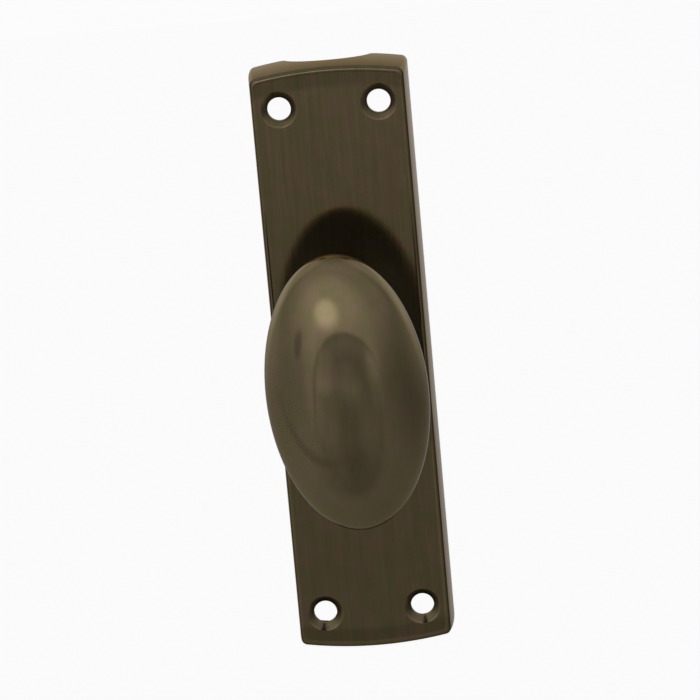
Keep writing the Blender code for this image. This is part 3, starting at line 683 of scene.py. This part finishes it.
def machine_screw(x, z):
    """Head and threaded shank in one skin: the thread's ridge winds round with the depth."""
    head = 0.0024
    edge = 0.00006
    slot_half = 0.0003
    slot_foot = 0.0006
    crest = 0.00135
    root = 0.00108
    pitch = 0.00045
    per_turn = 10
    around = 32
    length = -screw_low.y
    rows = [(head - edge, head - edge, 0), (head, head, edge), (root, root, head - root)]
    start = head - root
    steps = int((length - start) / pitch * per_turn)
    for row in range(1, steps + 1):
        depth = start + (length - start) * row / steps
        rows.append((root, min(crest, crest - (depth - length + crest) / 2), depth))
    rings = []
    for low, high, depth in rows:
        rim = []
        for step in range(around):
            a = 2 * math.pi * step / around
            ridge = 1 - abs(2 * ((depth / pitch - step / around) % 1) - 1)
            radius = low + max(0, high - low) * ridge if high > low else high
            rim.append((x + radius * math.cos(a), depth, z + radius * math.sin(a)))
        rings.append(rim)
    wide = head + THROUGH
    slot = block((x - wide, x + wide), (-THROUGH, slot_foot), (z - slot_half, z + slot_half))
    return carve(skin(rings), [slot], "DIFFERENCE")


for number, place in enumerate(screw_places, 1):
    screw = machine_screw(*place)
    fit(screw, f"back_screw_{number}", machined_steel, "housing", f"plate_screw_{number}")


# The studio. The bolt floats over a pale floor, as it does in the picture. Its dark metal shows little
# but what it mirrors: a soft light above and to the left, lamps and a pale screen behind, and a dim room.

FLOOR_DROP = 0.50
HALF_FLOOR = 6.0
PAPER_LIGHT = 0.66
BACKDROP_LIGHT = 0.97
floor_mesh = bpy.data.meshes.new("floor")
floor_mesh.from_pydata(
    [(x * HALF_FLOOR, y * HALF_FLOOR, -FLOOR_DROP) for x, y in ((-1, -1), (1, -1), (1, 1), (-1, 1))],
    [],
    [(0, 1, 2, 3)],
)
floor = bpy.data.objects.new("floor", floor_mesh)
bpy.context.scene.collection.objects.link(floor)
floor.visible_glossy = False
paper = bpy.data.materials.new("pale_paper")
paper.use_nodes = True
paper_shader = paper.node_tree.nodes["Principled BSDF"]
plug(paper_shader.inputs["Base Color"], (0.9, 0.9, 0.9))
plug(paper_shader.inputs["Roughness"], 1)
plug(paper_shader.inputs["Specular IOR Level"], 0)
plug(paper_shader.inputs["Emission Color"], (1, 1, 1))
plug(paper_shader.inputs["Emission Strength"], PAPER_LIGHT)
floor_mesh.materials.append(paper)

world = bpy.data.worlds.new("studio")
bpy.context.scene.world = world
world.use_nodes = True
backdrop = world.node_tree.nodes["Background"]
look = Sock(world.node_tree.nodes.new("ShaderNodeTexCoord").outputs["Generated"])


def patch(azimuth, elevation, wide, tall, soft, roll=0):
    """An oval in the room: where it is and its half angles, in degrees, and how soft its edge is. It is
    1 inside and 0 outside. Azimuth 0 is in front of the bolt, and grows to the right."""
    turn = math.radians(azimuth)
    rise = math.radians(elevation)
    centre = (math.sin(turn) * math.cos(rise), -math.cos(turn) * math.cos(rise), math.sin(rise))
    reach = (math.sin(math.radians(wide)), 1.0, math.sin(math.radians(tall)))
    tilt = (-rise, math.radians(roll), turn)
    place = {"Vector": look, "Location": centre, "Rotation": tilt, "Scale": reach}
    local = look.node("Mapping", {"vector_type": "TEXTURE"}, place)
    return ramp(local.node("VectorMath", {"operation": "LENGTH"}, {0: local}), 1 + soft, 1 - soft)


side, behind, height = (look.node("SeparateXYZ", {}, {"Vector": look}, i) for i in range(3))
upper = ramp(height, -0.15, 0.75)
room = 0.200 + upper * 0.105 - side * 0.04 - upper * ramp(behind, 0.1, 0.9) * 0.15
# The broad light, and a pale wall on each side of the camera.
room = room + patch(-12, 46, 58, 28, 0.5) * 0.14
room = room + patch(-40, 3, 12, 22, 0.5) * 0.06
room = room + patch(40, 3, 10, 14, 0.6) * 0.07
# It is dimmer towards the ground and on a wide table, and an arched opening has a darker rim.
room = room * (1 - ramp(height, -0.45, -0.95) * 0.22)
room = room * (1 - patch(0, -18, 44, 44, 0.04) * 0.13)
arch = patch(5, -10, 50, 34, 0.03)
arch_inside = patch(5, -14, 53, 34, 0.05)
room = room * (1 - arch * ramp(height, -0.35, 0.30) * 0.26)
room = room * (1 - arch * (1 - arch_inside) * 0.20)
# Pale and dark things stand in the opening and below it.
room = room + patch(4, -1, 14, 8, 0.6) * 0.065
room = room + patch(-24, 4, 12, 10, 0.6) * 0.07
room = room + patch(37, 5, 9, 6, 0.6) * 0.06
room = room + patch(-28, -3, 10, 4, 0.6) * 0.05
room = room * (1 - patch(6, 5, 20, 6, 0.5) * 0.13)
room = room * (1 - patch(-8, -48, 40, 16, 0.4) * 0.20)
room = room * (1 - patch(-1, -27, 14, 20, 0.5) * 0.24)
# Two thin dark edges run down on the left, a dark thing hangs there, and both far sides are dim.
room = room * (1 - patch(-70, -30, 30, 3, 0.5, 30) * 0.25)
room = room * (1 - patch(-40, -8, 1.5, 22, 0.5, 20) * 0.20)
room = room * (1 - patch(-92, 2, 36, 36, 0.8) * 0.22)
room = room * (1 - patch(100, -8, 38, 22, 0.8) * 0.35)
room = room * (1 - patch(-63, 13, 6, 7, 0.5) * 0.40)
# The broad light's bright middle, the lamps behind, and the pale screen between them.
room = room + patch(-20, 36, 16, 10, 0.5) * 0.42
room = room + patch(145, 25, 16, 28, 0.4) * 0.16
room = room + patch(-145, 25, 16, 28, 0.4) * 0.16
room = room + patch(174, -11, 8, 14, 0.6) * 0.11
room = room + patch(180, 9, 60, 14, 0.7) * 0.20
seen = Sock(world.node_tree.nodes.new("ShaderNodeLightPath").outputs["Is Camera Ray"])
plug(backdrop.inputs["Color"], (1.0, 1.0, 1.0))
plug(backdrop.inputs["Strength"], room * (1 - seen) + seen * BACKDROP_LIGHT)


# The camera stands where the photographer's did: three quarters of a metre away, a little above the bolt
# and to its right. It is rolled, so the bolt's top leans to the left in the picture.

ELEVATION = math.radians(11.094)
AZIMUTH = math.radians(2.55)
ROLL = math.radians(-5.148)
DISTANCE = 0.74475
FOCAL_PIXELS = 3420.45
PICTURE_WIDTH = 700
AIM = Vector((-0.000782, 0, -0.000454))
camera_data = bpy.data.cameras.new("camera")
camera_data.sensor_width = 36
camera_data.lens = FOCAL_PIXELS / PICTURE_WIDTH * camera_data.sensor_width
camera_data.clip_start = 0.05
camera_data.clip_end = 50
camera = bpy.data.objects.new("camera", camera_data)
bpy.context.scene.collection.objects.link(camera)
level = math.cos(ELEVATION)
back = Vector((math.sin(AZIMUTH) * level, -math.cos(AZIMUTH) * level, math.sin(ELEVATION)))
right = (-back).cross(Vector((0, 0, 1))).normalized()
up = right.cross(-back)
camera.matrix_world.col[0][:3] = right * math.cos(ROLL) + up * math.sin(ROLL)
camera.matrix_world.col[1][:3] = up * math.cos(ROLL) - right * math.sin(ROLL)
camera.matrix_world.col[2][:3] = back
camera.matrix_world.col[3][:3] = AIM + back * DISTANCE
bpy.context.scene.camera = camera
bpy.context.scene.view_settings.view_transform = "Standard"
